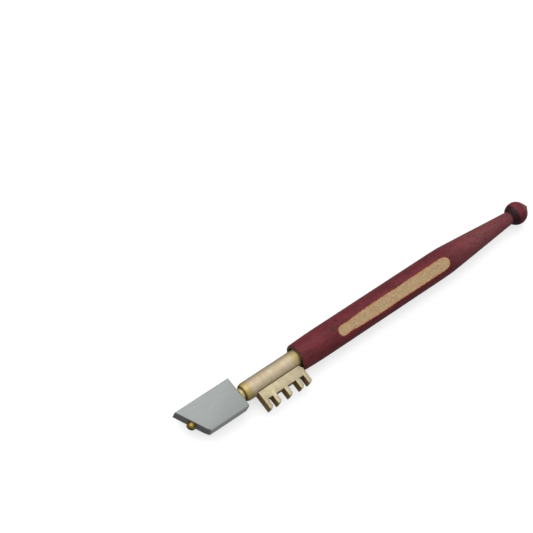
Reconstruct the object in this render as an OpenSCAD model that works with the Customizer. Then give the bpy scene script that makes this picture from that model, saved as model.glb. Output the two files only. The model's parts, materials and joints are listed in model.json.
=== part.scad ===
// Glazier's glass cutter: a turned wooden handle with a ball end, a brass
// barrel with a breaker comb along one side, and a steel head that carries
// the diamond and swivels a little about the tool's own axis.
//
// Inside each module X runs along the tool, from the front corner of the
// head (0) to the tip of the ball, and Z is square to the flat of the head
// and of the comb, whose teeth point to -Y. in_place() then moves the tool
// so that the origin is under the middle of its box and it stands on z = 0.

/* [Head] */
// Length of the head's long side
head_long = 24.8; // [22:0.1:27]
// How far the slanted front falls back across the head
head_setback = 7.3; // [5:0.1:9]
// Width of the head
head_w = 13.4; // [12:0.1:14.5]
// Thickness of the head
head_t = 5.2; // [5:0.1:6]
// How far the head reaches past the axis on its long side
head_over = 7.5; // [6.5:0.1:8]
// How far the head's back leans towards the barrel across the head
head_lean = 0.6; // [0:0.05:0.6]
// Radius of the head's corner beside the comb
head_corner_r = 0.9; // [0.5:0.1:2.6]

/* [Diamond] */
// Diameter of the brass diamond holder
holder_d = 3.4; // [2.8:0.1:3.8]
// How far the holder stands out of the head's front
holder_out = 2; // [1.4:0.1:2.6]
// Length of the holder inside the head
holder_in = 7; // [5:0.1:8]
// Width of the diamond across its flats
diamond_w = 0.8; // [0.6:0.05:0.9]

/* [Swivel] */
// How far the head turns either way from its middle position
swing = 20; // [5:1:25]
// Length of the bright collar between the head and the barrel
collar_len = 1.2; // [0.8:0.1:2]
// Diameter of the collar
collar_d = 5.2; // [4.6:0.1:5.6]
// Diameter of the spindle's journal
journal_d = 3.5; // [3.2:0.1:3.8]
// Radial clearance of the journal in the barrel
run_gap = 0.05; // [0.02:0.01:0.09]
// Thickness of the thrust washer
washer_t = 0.35; // [0.2:0.05:0.6]

/* [Barrel] */
// Diameter of the brass barrel
barrel_d = 7.4; // [7.2:0.1:8]
// Length of the barrel in front of the handle
barrel_out = 26.1; // [25.7:0.1:30]
// Length of the barrel's tail inside the handle
barrel_in = 25; // [22:0.5:30]
// Diameter of the barrel's front face
nose_d = 6.2; // [5.4:0.1:6.6]
// Length of the rounded nose
nose_len = 2; // [1.2:0.1:3]

/* [Breaker comb] */
// Thickness of the comb plate
comb_t = 4.2; // [3.4:0.1:4.6]
// How far the teeth reach from the tool's axis
comb_reach = 11; // [10:0.1:12]
// How far the bottoms of the slots lie from the tool's axis
slot_floor = 7.2; // [6.6:0.1:7.8]
// Width of each tooth
tooth_w = 1.75; // [1.5:0.05:2]
// Widths of the slots, for panes of four thicknesses
slot_w = [2.2, 3.8, 3.9, 2.1];
// Size of the bevel on each tooth's rear corner
tooth_bevel = 0.7; // [0.3:0.05:1]
// Distance from the barrel's nose to the comb
comb_back = 4.5; // [3.6:0.1:4.7]

/* [Handle] */
// Length of the handle, mouth to tip
handle_len = 127; // [120:1:135]
// Diameter of the straight grip
grip_d = 11.8; // [11:0.1:12.6]
// Diameter at the mouth
mouth_d = 11.2; // [10.4:0.1:11.6]
// Distance from the mouth to the shoulder
shoulder_at = 78.7; // [76:0.1:82]
// Diameter of the thin throat before the ball
throat_d = 5.5; // [4.6:0.1:6.4]
// Diameter of the ball
ball_d = 9.7; // [9:0.1:10.4]
// Width of the thumb flat
flat_w = 5.4; // [4.4:0.1:6]
// Length of the thumb flat
flat_len = 59.2; // [50:0.1:60]
// Distance from the mouth to the thumb flat
flat_at = 18.5; // [17:0.1:19]
// Turn of the thumb flat from the plane of the comb
flat_turn = 20; // [0:1:25]

/* [Hidden] */
$fn = 72;
eps = 0.01;

// Stations along the tool
collar_stand = 0.5;
collar_start = head_long + collar_stand;
collar_end = collar_start + collar_len;
washer_gap = 0.05;
washer_inset = 0.1;
nose_x = collar_end + washer_gap + washer_t;
comb_x = nose_x + comb_back;
mouth_x = nose_x + barrel_out;
tool_len = mouth_x + handle_len;

// Radii
grip_r = grip_d / 2;
barrel_r = barrel_d / 2;
journal_r = journal_d / 2;
bore_r = journal_r + run_gap;

// Comb
comb_slots = len(slot_w);
comb_seat = 3.1;
tongue_depth = 0.6;
tongue_t = 2;
heel_cut_x = 0.95;
heel_cut_y = 1.7;
comb_len = tooth_start(comb_slots) + tooth_w;

// Spindle
shank_r = 1.6;
shank_in = 10;
journal_len = 15.2;
bore_len = 15.8;
pin_r = 0.6;
pin_tip_r = 1.05;
pin_back = 8.9;
groove_r = 0.85;
groove_play = 0.15;
// The groove must clear the pin's inner corners at both ends of the swing
groove_half_angle = swing + atan(pin_r / pin_tip_r) + 4;

// Head
head_under = head_w - head_over;
front_turn = atan(head_setback / head_w);
corner_inset = 0.02;
holder_x = head_setback / 2;
holder_y = head_over - head_w / 2;

// Diamond holder
holder_bevel = 0.5;
setting_r = 0.8;
setting_depth = 0.6;
setting_proud = 0.1;
diamond_bed = 0.5;
diamond_point = 0.45;
point_r = 0.03;

// Handle
mouth_bevel = 0.5;
mouth_flare_len = 13;
ball_r = ball_d / 2;
nub_len = 1.5;
nub_tip_r = 0.35;
ball_at = handle_len - nub_len - ball_r;
throat_at = ball_at - 4.2;
shoulder_blend = 5;
pin_hole_at = 20.9;
pin_hole_turn = -31;
brad_r = 0.55;
brad_depth = 7.5;

// Sum of the slots before slot i, for i from 0 to the number of slots
function slots_before(i) = i == 0 ? 0 : slots_before(i - 1) + slot_w[i - 1];
// Start of tooth i, measured from the comb's front end
function tooth_start(i) = slots_before(i) + i * tooth_w;

// Parabola through three control points, as a list of n + 1 points
function bend(a, b, c, n) =
    [for (i = [0 : n]) let (t = i / n) (1 - t) * (1 - t) * a + 2 * t * (1 - t) * b + t * t * c];

// Puts the tool on z = 0 with the origin under the middle of its box
module in_place() {
    translate([-tool_len / 2, (comb_reach - head_over) / 2, grip_r])
        children();
}

// Turns something made along Z so that it lies along +X from x
module along_x(x) {
    translate([x, 0, 0])
        rotate([0, 90, 0])
            children();
}

// Stands something made along Z on the head's slanted front, pointing out
module on_front() {
    translate([holder_x, holder_y, 0])
        rotate([0, 0, 180 + front_turn])
            rotate([0, 90, 0])
                children();
}

// Profile of the handle as distance from the axis against distance from the mouth
module handle_profile() {
    slope = (throat_d / 2 - grip_r) / (throat_at - shoulder_at);
    before = [grip_r, shoulder_at - shoulder_blend];
    corner = [grip_r, shoulder_at];
    after = [grip_r + slope * shoulder_blend, shoulder_at + shoulder_blend];
    polygon(concat(
        [[0, 0], [mouth_d / 2 - mouth_bevel, 0], [mouth_d / 2, mouth_bevel]],
        [[grip_r, mouth_flare_len]],
        bend(before, corner, after, 8),
        [[throat_d / 2, throat_at], [throat_d / 2, ball_at], [0, ball_at]]
    ));
}

// Cutter that leaves the thumb flat, with a round run-out at each end
module flat_cutter() {
    floor_z = sqrt(grip_r * grip_r - flat_w * flat_w / 4);
    depth = grip_r - floor_z;
    runout = sqrt(2 * grip_r * depth - depth * depth);
    rotate([flat_turn, 0, 0])
        translate([mouth_x + flat_at + runout, 0, floor_z + grip_r])
            rotate([90, 0, 0])
                linear_extrude(2 * grip_r, center = true) {
                    circle(grip_r);
                    translate([flat_len - 2 * runout, 0])
                        circle(grip_r);
                    translate([0, -grip_r])
                        square([flat_len - 2 * runout, 2 * grip_r]);
                }
}

// Blunt cone that leaves the ball tangentially and ends at the tool's tip
module ball_tip() {
    apex = ball_r + nub_len;
    base = ball_r * ball_r / apex;
    base_r = sqrt(ball_r * ball_r - base * base);
    along_x(mouth_x + ball_at + base)
        cylinder(h = apex - base, r1 = base_r - eps, r2 = nub_tip_r);
}

// Brad through the handle into the barrel's tail
module brad(r) {
    translate([mouth_x + pin_hole_at, 0, 0])
        rotate([pin_hole_turn, 0, 0])
            translate([0, 0, grip_r - brad_depth])
                cylinder(h = brad_depth, r = r, $fn = 36);
}

// Turned handle with its bore, thumb flat and ball end
module handle() {
    color([0.45, 0.16, 0.19])
        in_place()
            difference() {
                union() {
                    along_x(mouth_x)
                        rotate_extrude()
                            handle_profile();
                    along_x(mouth_x + ball_at)
                        sphere(ball_r);
                    ball_tip();
                }
                along_x(mouth_x - eps)
                    cylinder(h = barrel_in + eps, r = barrel_r);
                flat_cutter();
                brad(brad_r);
            }
}

// Steel brad that pins the barrel into the handle
module handle_pin() {
    color([0.25, 0.22, 0.2])
        in_place()
            intersection() {
                brad(brad_r);
                along_x(mouth_x)
                    cylinder(h = barrel_in, r = grip_r - 0.05);
            }
}

// Space that the comb takes out of the barrel: a flat and a slot
module comb_bed() {
    translate([comb_x, -2 * barrel_r, -barrel_r])
        cube([comb_len, 2 * barrel_r - comb_seat, 2 * barrel_r]);
    translate([comb_x, -comb_seat - eps, -tongue_t / 2])
        cube([comb_len, tongue_depth + eps, tongue_t]);
}

// Brass barrel with a rounded nose, the spindle's bore and the comb's bed
module barrel() {
    nose_r = nose_d / 2;
    color([0.8, 0.72, 0.5])
        in_place()
            difference() {
                along_x(nose_x)
                    rotate_extrude()
                        polygon(concat(
                            [[0, 0]],
                            bend([nose_r, 0], [barrel_r, 0], [barrel_r, nose_len], 6),
                            [[barrel_r, barrel_out + barrel_in], [0, barrel_out + barrel_in]]
                        ));
                along_x(nose_x - eps)
                    cylinder(h = bore_len + eps, r = bore_r);
                comb_bed();
                stop_pin();
                brad(brad_r);
            }
}

// Brass breaker comb: a bar with five teeth, let into the side of the barrel
module breaker_comb() {
    color([0.82, 0.74, 0.52])
        in_place()
            translate([comb_x, 0, 0])
                union() {
                    linear_extrude(comb_t, center = true)
                        comb_outline();
                    translate([0, -comb_seat - eps, -tongue_t / 2])
                        cube([comb_len, tongue_depth + eps, tongue_t]);
                }
}

// Outline of the comb seen square to its plate
module comb_outline() {
    slot_depth = comb_reach - slot_floor;
    difference() {
        translate([0, -comb_reach])
            square([comb_len, comb_reach - comb_seat]);
        for (i = [0 : comb_slots - 1])
            translate([tooth_start(i) + tooth_w, -comb_reach - eps])
                square([slot_w[i], slot_depth + eps]);
        for (i = [0 : comb_slots])
            translate([tooth_start(i) + tooth_w, -comb_reach])
                rotate(45)
                    square(tooth_bevel * sqrt(2), center = true);
        polygon([
            [comb_len - heel_cut_x, -comb_seat + eps],
            [comb_len + eps, -comb_seat + eps],
            [comb_len + eps, -comb_seat - heel_cut_y]
        ]);
    }
}

// Radial stop pin, pressed into the barrel from below
module stop_pin() {
    translate([nose_x + pin_back, 0, -barrel_r])
        cylinder(h = barrel_r - pin_tip_r, r = pin_r, $fn = 36);
}

// The stop pin, flush with the round of the barrel
module swivel_pin() {
    color([0.45, 0.43, 0.4])
        in_place()
            intersection() {
                stop_pin();
                along_x(nose_x)
                    cylinder(h = barrel_out, r = barrel_r);
            }
}

// Thin steel washer between the collar and the barrel's nose
module thrust_washer() {
    color([0.35, 0.34, 0.33])
        in_place()
            along_x(nose_x - washer_t)
                difference() {
                    cylinder(h = washer_t, r = collar_d / 2 - washer_inset);
                    translate([0, 0, -eps])
                        cylinder(h = washer_t + 2 * eps, r = bore_r);
                }
}

// Brass spindle: shank in the head, bright collar, and journal in the barrel
module spindle() {
    color([0.85, 0.72, 0.4])
        in_place()
            difference() {
                union() {
                    along_x(head_long - shank_in)
                        cylinder(h = shank_in + collar_stand + eps, r = shank_r);
                    along_x(collar_start)
                        cylinder(h = collar_len, r = collar_d / 2);
                    along_x(collar_end - eps)
                        cylinder(h = journal_len + eps, r = journal_r);
                }
                translate([nose_x + pin_back, 0, 0])
                    stop_groove();
            }
}

// Part of a ring, open towards -Z, in which the stop pin can travel
module stop_groove() {
    width = 2 * (pin_r + groove_play);
    rotate([-90 - groove_half_angle, 0, 0])
        rotate([0, 90, 0])
            rotate([0, 0, 90])
                translate([0, 0, -width / 2])
                    rotate_extrude(angle = 2 * groove_half_angle)
                        translate([groove_r, 0])
                            square([journal_r, width]);
}

// Outline of the head seen square to its flat, with one round corner on its leaning back
module head_outline() {
    r = head_corner_r;
    corner_x = head_long + head_lean;
    lean = atan(head_lean / head_w);
    to_touch = r / tan((90 - lean) / 2);
    centre = [corner_x - to_touch, r - head_under];
    // The back starts a little inside the circle, so that the two cross cleanly
    touch = centre + (r - corner_inset) * [cos(lean), sin(lean)];
    polygon([
        [0, head_over],
        [head_setback, -head_under],
        [corner_x - to_touch, -head_under],
        centre,
        touch,
        [head_long, head_over]
    ]);
    translate(centre)
        circle(r);
}

// Steel head plate with a slanted front, bored for the spindle and the holder
module head_block() {
    color([0.62, 0.64, 0.64])
        in_place()
            difference() {
                linear_extrude(head_t, center = true)
                    head_outline();
                along_x(head_long - shank_in)
                    cylinder(h = shank_in + head_lean + eps, r = shank_r);
                on_front()
                    translate([0, 0, -holder_in])
                        cylinder(h = holder_in + holder_d, r = holder_d / 2);
            }
}

// Brass rod with a bevelled end, drilled for the diamond's setting
module diamond_holder() {
    r = holder_d / 2;
    color([0.7, 0.6, 0.3])
        in_place()
            on_front()
                difference() {
                    union() {
                        translate([0, 0, -holder_in])
                            cylinder(h = holder_in + holder_out - holder_bevel, r = r);
                        translate([0, 0, holder_out - holder_bevel - eps])
                            cylinder(h = holder_bevel + eps, r1 = r, r2 = r - holder_bevel);
                    }
                    translate([0, 0, holder_out - setting_depth])
                        cylinder(h = setting_depth + eps, r = setting_r);
                }
}

// Square stem and four-sided point of the diamond, without its colour
module diamond_shape() {
    stem_h = diamond_bed + setting_proud;
    translate([0, 0, holder_out - diamond_bed + stem_h / 2])
        cube([diamond_w, diamond_w, stem_h], center = true);
    translate([0, 0, holder_out + setting_proud])
        rotate([0, 0, 45])
            cylinder(h = diamond_point, r1 = diamond_w / sqrt(2), r2 = point_r, $fn = 4);
}

// Braze that holds the diamond in the end of the holder
module diamond_setting() {
    color([0.3, 0.29, 0.27])
        in_place()
            on_front()
                difference() {
                    translate([0, 0, holder_out - setting_depth])
                        cylinder(h = setting_depth + setting_proud, r = setting_r);
                    diamond_shape();
                }
}

// Cutting diamond, with its point standing out of the setting
module diamond() {
    color([0.12, 0.12, 0.13])
        in_place()
            on_front()
                diamond_shape();
}

handle();
handle_pin();
barrel();
breaker_comb();
swivel_pin();
thrust_washer();
spindle();
head_block();
diamond_holder();
diamond_setting();
diamond();
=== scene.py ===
# %% [markdown]
# # A glazier's glass cutter, finished in Blender
# The tool has a turned wooden handle with a ball end, a brass barrel with a
# breaker comb along one side, and a steel head that carries the diamond. The
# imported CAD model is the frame: it says where every piece is and what moves.
# This lesson gives each piece its finished surface and its own material.

# %% Load the frame
import json

import bpy
import numpy as np
from mathutils import Matrix, Vector


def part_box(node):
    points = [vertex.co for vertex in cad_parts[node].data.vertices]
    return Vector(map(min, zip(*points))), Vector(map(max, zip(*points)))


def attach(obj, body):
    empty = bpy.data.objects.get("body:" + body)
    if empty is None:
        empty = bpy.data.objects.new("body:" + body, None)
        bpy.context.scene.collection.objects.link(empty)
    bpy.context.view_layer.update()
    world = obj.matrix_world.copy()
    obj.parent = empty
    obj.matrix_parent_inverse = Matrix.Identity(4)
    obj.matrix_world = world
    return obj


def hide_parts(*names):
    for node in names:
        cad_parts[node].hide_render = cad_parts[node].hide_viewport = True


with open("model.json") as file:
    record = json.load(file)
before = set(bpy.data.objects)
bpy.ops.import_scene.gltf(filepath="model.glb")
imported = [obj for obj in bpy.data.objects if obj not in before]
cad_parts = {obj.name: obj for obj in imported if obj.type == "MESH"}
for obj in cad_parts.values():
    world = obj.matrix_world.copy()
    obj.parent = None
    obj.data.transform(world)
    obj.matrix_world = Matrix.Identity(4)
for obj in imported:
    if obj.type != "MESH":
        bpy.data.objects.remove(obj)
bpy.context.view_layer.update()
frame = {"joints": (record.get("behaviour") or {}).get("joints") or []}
MM = 0.001

# %% [markdown]
# The frame gives every size that the pieces below need. The handle's box is
# centred on the tool's axis, so the axis is known at once, and the ends of
# the other boxes are the stations along it: the nose of the barrel, the
# mouth of the handle, the back of the head. Lengths are in metres, as
# Blender's are, and MM turns a length in millimetres into metres.

# %% Read the stations off the frame
handle_low, handle_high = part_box("handle")
barrel_low, barrel_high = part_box("barrel")
comb_low, comb_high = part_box("breaker_comb")
head_low, head_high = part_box("head_block")
collar_low, collar_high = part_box("spindle")
washer_low, washer_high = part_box("thrust_washer")

AXIS_Y = (handle_low.y + handle_high.y) / 2
AXIS_Z = (handle_low.z + handle_high.z) / 2
GRIP_R = (handle_high.z - handle_low.z) / 2
BARREL_R = (barrel_high.z - barrel_low.z) / 2
COLLAR_R = (collar_high.z - collar_low.z) / 2
MOUTH_X, TIP_X = handle_low.x, handle_high.x
NOSE_X, TAIL_X = barrel_low.x, barrel_high.x
HEAD_LONG = 24.8 * MM
HEAD_BACK_X = head_low.x + HEAD_LONG
print("grip diameter, mm:", round(2 * GRIP_R / MM, 2))
print("barrel diameter, mm:", round(2 * BARREL_R / MM, 2))

# %% [markdown]
# Every round piece is a surface of two numbers: how far along the piece, and
# how far round it. Numpy works out the whole grid of points at once, and the
# helper below turns the grid into a closed mesh. Each row of the grid is a
# ring, and a single vertex closes each end, so there is no hole at a pole
# and no doubled seam. Its faces point outwards when the rings run along +X
# and each ring turns from +Z towards -Y.

# %% Helpers: rings of points to a closed mesh
def grid_quads(n, m, wrap=False):
    """Quads between neighbouring rings of m points; wrap also joins the last ring to the first."""
    i, j = np.meshgrid(np.arange(n if wrap else n - 1), np.arange(m), indexing="ij")
    up, after = (i + 1) % n, (j + 1) % m
    return np.stack([i * m + j, i * m + after, up * m + after, up * m + j], -1).reshape(-1, 4)


def add_piece(name, points, faces, flat_faces=0):
    """Makes a smooth-shaded object; the last flat_faces faces keep their flat shading."""
    mesh = bpy.data.meshes.new(name)
    mesh.from_pydata(np.asarray(points).tolist(), [], faces)
    smooth = np.ones(len(faces), dtype=bool)
    smooth[len(faces) - flat_faces:] = False
    mesh.polygons.foreach_set("use_smooth", smooth)
    mesh.update()
    piece = bpy.data.objects.new(name, mesh)
    bpy.context.scene.collection.objects.link(piece)
    return piece


def closed_rings(name, rings, first=None, last=None):
    """Joins (n, m, 3) ring points with quads. Each end is a fan to one point, or the rings wrap."""
    n, m, _ = rings.shape
    if first is None:
        return add_piece(name, rings.reshape(-1, 3), grid_quads(n, m, wrap=True).tolist())
    k = np.arange(m)
    start = np.stack([np.full(m, n * m), (k + 1) % m, k], -1)
    end = np.stack([np.full(m, n * m + 1), (n - 1) * m + k, (n - 1) * m + (k + 1) % m], -1)
    points = np.concatenate([rings.reshape(-1, 3), [first], [last]])
    return add_piece(name, points, grid_quads(n, m).tolist() + start.tolist() + end.tolist())


def add_values(piece, name, values):
    """Stores one number for each vertex, which a material reads as an attribute."""
    layer = piece.data.attributes.new(name, "FLOAT", "POINT")
    layer.data.foreach_set("value", np.asarray(values, dtype=np.float32))


# %% [markdown]
# Turned pieces all come from one helper. A profile is a list of stations and
# radii, and the surface is (x, -r sin a, r cos a) about the axis. Stations
# may run backwards, which makes a bore. Sharp corners are kept crisp by
# `soften`, which cuts each corner of a profile with a short quarter curve,
# as a lathe tool's nose does. The small bright curve along an edge is most
# of what makes metal look machined.

# %% Helpers: profiles and turned pieces
def soften(profile, radii, steps=4):
    """Replaces corner k by a curve that starts and ends radii[k] away from it, along its sides.
    The curve is the parabola (1-t)^2 a + 2t(1-t) corner + t^2 b."""
    profile = np.asarray(profile, dtype=float)
    out = [profile[:1]]
    t = np.linspace(0, 1, steps + 1)[:, None]
    for k in range(1, len(profile) - 1):
        corner, r = profile[k], radii[k - 1]
        if r == 0:
            out.append(corner[None])
            continue
        a = corner + (profile[k - 1] - corner) * r / np.linalg.norm(profile[k - 1] - corner)
        b = corner + (profile[k + 1] - corner) * r / np.linalg.norm(profile[k + 1] - corner)
        out.append((1 - t) ** 2 * a + 2 * t * (1 - t) * corner + t * t * b)
    out.append(profile[-1:])
    return np.concatenate(out)


HOLD = 0.06 * MM


def brace(profile):
    """Adds a row HOLD away from each end of every long stretch, which keeps the shading at the corners."""
    profile = np.asarray(profile, dtype=float)
    out = [profile[:1]]
    for a, b in zip(profile[:-1], profile[1:]):
        length = np.linalg.norm(b - a)
        if length > 4 * HOLD:
            out.append(np.stack([a + (b - a) * HOLD / length, b - (b - a) * HOLD / length]))
        out.append(b[None])
    return np.concatenate(out)


def around(x, r, angle, turn, move):
    """Points (x, -r sin a, r cos a), turned by a rotation and then moved."""
    x, r, angle = np.broadcast_arrays(x, r, angle)
    return np.stack([x, -r * np.sin(angle), r * np.cos(angle)], -1) @ turn.T + move


def about_axis(name, x, r, angle, ends, turn=np.eye(3), move=(0, AXIS_Y, AXIS_Z)):
    """Rings about the tool's axis, or another, closed by a vertex on it at each end station."""
    first, last = around(ends, 0, 0, turn, move)
    return closed_rings(name, around(x, r, angle, turn, move), first, last)


def turned(name, profile, sides, turn, move):
    """Turns a profile of (station, radius) rows round an axis.
    A profile that starts and ends on the axis closes there, and any other one wraps into a ring."""
    angle = np.linspace(0, 2 * np.pi, sides, endpoint=False)
    x, r = profile[:, :1], profile[:, 1:]
    if r[0] == 0 and r[-1] == 0:
        return about_axis(name, x[1:-1], r[1:-1], angle, x[[0, -1], 0], turn, move)
    return closed_rings(name, around(x, r, angle, turn, move))


def place_piece(piece, node, body):
    """Hides the CAD node that the piece stands for, and puts the piece under its body."""
    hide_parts(node)
    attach(piece, body)
    print(f"{piece.name}: {len(piece.data.polygons)} faces, for {node}")


# %% [markdown]
# ## The handle
# The real handle is turned from a light hardwood, dipped in dark red stain,
# and then sanded flat on one side for the forefinger. One grid makes the
# whole of it: bore, bare mouth, grip, shoulder, throat, ball and the small
# cone where it was parted from the lathe. Where the thumb flat is, the
# radius is cut down to a plane, r = floor / cos(angle), so the rim of the
# flat is the true crossing of a plane and a round bar.

# %% Profile of the handle
THROAT_R = 2.75 * MM
BALL_R = 4.85 * MM
TIP_CONE = 1.5 * MM
TIP_R = 0.35 * MM
SHOULDER_AT = 78.7 * MM
MOUTH_R = 5.6 * MM
MOUTH_ROUND = 0.7 * MM
BORE_DEPTH = TAIL_X - MOUTH_X
BORE_R = BARREL_R + 0.02 * MM
BORE_LIP = 0.8 * MM
BORE_ROWS, RIM_ROWS = 3, 9
SWELL_LEN, CONE_LEAD, BLEND, THROAT_LEAD = 13 * MM, 5 * MM, 2.2 * MM, 4.2 * MM


def handle_outline():
    """Stations from the mouth and radii, from the bottom of the bore round to the tip of the ball."""
    length = TIP_X - MOUTH_X
    ball_at = length - TIP_CONE - BALL_R
    throat_at = ball_at - THROAT_LEAD
    bore = [[BORE_DEPTH, 0], [BORE_DEPTH, BORE_R], [BORE_LIP, BORE_R], [0, BORE_R + BORE_LIP]]
    round_t = np.linspace(0, np.pi / 2, RIM_ROWS)
    rim_x = MOUTH_ROUND * (1 - np.cos(round_t))
    rim_r = MOUTH_R - MOUTH_ROUND * (1 - np.sin(round_t))
    rim = np.stack([rim_x, rim_r], -1)
    grip_x = np.linspace(MOUTH_ROUND, SHOULDER_AT - CONE_LEAD, 220)[1:]
    swell = 1 - np.clip((grip_x - MOUTH_ROUND) / SWELL_LEN, 0, 1)
    grip = np.stack([grip_x, GRIP_R - (GRIP_R - MOUTH_R) * swell ** 2], -1)
    slope = (THROAT_R - GRIP_R) / (throat_at - SHOULDER_AT)
    cone_x = np.linspace(SHOULDER_AT - CONE_LEAD, throat_at, 50)[1:]
    past = cone_x - SHOULDER_AT
    cone = np.stack([cone_x, GRIP_R + slope * (past + np.sqrt(past ** 2 + BLEND ** 2)) / 2], -1)
    meet = np.arcsin(THROAT_R / BALL_R)
    cap = np.arccos(BALL_R / (BALL_R + TIP_CONE))
    ball_t = np.linspace(meet, np.pi - cap, 40)
    ball = np.stack([ball_at - BALL_R * np.cos(ball_t), BALL_R * np.sin(ball_t)], -1)
    tip = np.linspace(ball[-1], [length, TIP_R], 8)[1:]
    return np.concatenate([bore, rim, grip, cone, ball, tip, [[length, 0]]])


outline = handle_outline()
print("handle profile rows:", len(outline))

# %% [markdown]
# The thumb flat was sanded by hand on a belt, so its width wanders: a small
# round lobe at the front, a slight waist, then wider to a fuller round end.
# `flat_inside` says how far inside the rim of the flat a point of the round
# surface lies, and the material uses the same number for the bare wood and
# its scorched edge, so the colour always follows the shape.

# %% The thumb flat
FLAT_TURN = np.radians(20)
FLAT_START, FLAT_LENGTH = 18.5 * MM, 59.2 * MM
FRONT_LOBE, REAR_ROUND = 2.3 * MM, 2.6 * MM
FLAT_HALF, FLAT_WIDENS = 2.3, 0.37
WAISTS = [(0.13, 0.54, 0.07), (0.26, 0.1, 0.032)]


def flat_half_width(along):
    """Half width of the flat: it widens through a smooth step, less a bell curve for each waist.
    A waist's numbers are its depth in millimetres, its place and its spread along the flat."""
    s = np.clip(along / FLAT_LENGTH, 0, 1)
    step = np.clip((s - 0.09) / 0.24, 0, 1)
    step = step * step * (3 - 2 * step)
    waist = sum(depth * np.exp(-((s - place) / spread) ** 2) for depth, place, spread in WAISTS)
    return (FLAT_HALF + FLAT_WIDENS * step - waist) * MM


def flat_inside(along, across):
    """Distance inside the rim: half width less |across| in the middle, and a circle at each end."""
    middle = flat_half_width(along) - np.abs(across)
    front = FRONT_LOBE - np.hypot(along - FRONT_LOBE, across)
    rear = REAR_ROUND - np.hypot(along - FLAT_LENGTH + REAR_ROUND, across)
    inside = np.where(along < FRONT_LOBE, front, middle)
    return np.where(along > FLAT_LENGTH - REAR_ROUND, np.minimum(rear, middle), inside)


def flat_floor(along):
    """Distance from the axis to the flat, from the width that the rim has at that station."""
    front = np.sqrt(np.clip(FRONT_LOBE ** 2 - (along - FRONT_LOBE) ** 2, 0, None))
    rear = np.sqrt(np.clip(REAR_ROUND ** 2 - (along - FLAT_LENGTH + REAR_ROUND) ** 2, 0, None))
    half = flat_half_width(along)
    half = np.where(along < FRONT_LOBE, np.minimum(front, half), half)
    half = np.where(along > FLAT_LENGTH - REAR_ROUND, np.minimum(rear, half), half)
    half = np.where((along < 0) | (along > FLAT_LENGTH), 0, half)
    return np.sqrt(GRIP_R ** 2 - half ** 2)


# %% [markdown]
# The mesh also carries numbers for its material. The end-wood number is 1 on
# the bare mouth and 2 in the bore, which is painted near-black as shade; the
# neck-shade number is painted shade on the ball's side towards the neck; and
# "worn" is where hands and tables have rubbed it dusty.

# %% Build the handle
OUTSIDE = -9
WORN_ON_NECK, WORN_BY_BALL, WORN = [76, 92], [-5.0, -4.4, 0.8, 4.0], [0, 0.35, 0.35, 0, 0, 1]
# Painted shade on the ball's side towards the neck, at stations in mm from the ball's centre.
NECK_SHADE_BY_BALL, NECK_SHADE = [-4.6, -4.1, -2.2, -1.4], [0, 1, 1, 0]


def make_handle():
    """Rings along the profile, each cut down to the flat's plane where it passes under the flat."""
    angle = np.linspace(0, 2 * np.pi, 256, endpoint=False)
    x, r = outline[1:-1, 0, None], outline[1:-1, 1, None]
    row = np.arange(len(x))[:, None]
    outside = row >= BORE_ROWS + RIM_ROWS
    facing = np.cos(angle - FLAT_TURN)
    flat_side = outside & (facing > 0.5)
    floor = flat_floor(x - FLAT_START) / np.clip(facing, 0.2, None)
    radius = np.where(flat_side & (floor < r), floor, r)
    piece = about_axis("handle_turned", MOUTH_X + x, radius, angle, MOUTH_X + outline[[0, -1], 0])
    inside = flat_inside(x - FLAT_START, GRIP_R * np.sin(angle - FLAT_TURN)) / MM
    inside = np.where(flat_side, inside, OUTSIDE)
    add_values(piece, "flat_inside", np.append(inside.ravel(), [OUTSIDE, OUTSIDE]))
    # 2 paints the bore near-black, as shade; 1 is the bare end wood of the mouth.
    end_wood_and_shade = np.select([row < BORE_ROWS - 1, row < BORE_ROWS + 2], [2.0, 1.0])
    ball_at = TIP_X - MOUTH_X - TIP_CONE - BALL_R
    neck_shade = outside * np.interp(x, np.array(NECK_SHADE_BY_BALL) * MM + ball_at, NECK_SHADE)
    worn_at = np.append(np.array(WORN_ON_NECK) * MM, np.array(WORN_BY_BALL) * MM + ball_at)
    worn = outside * np.interp(x, worn_at, WORN)
    marks = {"end_wood_and_shade": (end_wood_and_shade, [2, 0]), "neck_shade": (neck_shade, [0, 0]), "worn": (worn, [0, 1])}
    for label, (rows, ends) in marks.items():
        add_values(piece, label, np.append(np.repeat(rows, len(angle)), ends))
    return piece


handle = make_handle()
place_piece(handle, "handle", "stock")

# %% [markdown]
# ## The barrel
# A length of brass rod, faced and rounded at the nose. The comb is soldered
# to a flat along its side, so the round surface is cut to that plane where
# the comb sits. The golden number marks the nose and the last stretch before
# the handle, which are yellower. The solder-and-shade number marks what is
# dark: the solder line along the comb, a painted shadow on the comb side
# where the barrel enters the handle, and painted shade along the +Y side and
# under the barrel.

# %% Build the barrel
NOSE_FACE_R = 3.1 * MM
NOSE_LEN = 2.0 * MM
COMB_SEAT = 3.1 * MM
SPINDLE_BORE_R = 1.8 * MM
SPINDLE_BORE = 15.8 * MM
LIP, TAIL_EDGE = 0.15 * MM, 0.3 * MM
GOLDEN_AT = [NOSE_X, NOSE_X + 2.2 * MM, NOSE_X + 2.9 * MM, MOUTH_X - 4.5 * MM, MOUTH_X - 1.0 * MM]
GOLDEN = [1, 0.8, 0, 0, 0.8]
# The solder line's width, a painted shadow ring at the handle's mouth, and painted shade by angle round the
# barrel.
SOLDER_LINE, MOUTH_SHADE_RING = [0.15 * MM, 0.5 * MM], [MOUTH_X - 1.3 * MM, MOUTH_X - 0.4 * MM]
FAR_SIDE_SHADE_DEGREES, FAR_SIDE_SHADE = [160, 200, 264, 288, 306], [0, 0.35, 0.5, 0.8, 0]


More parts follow.
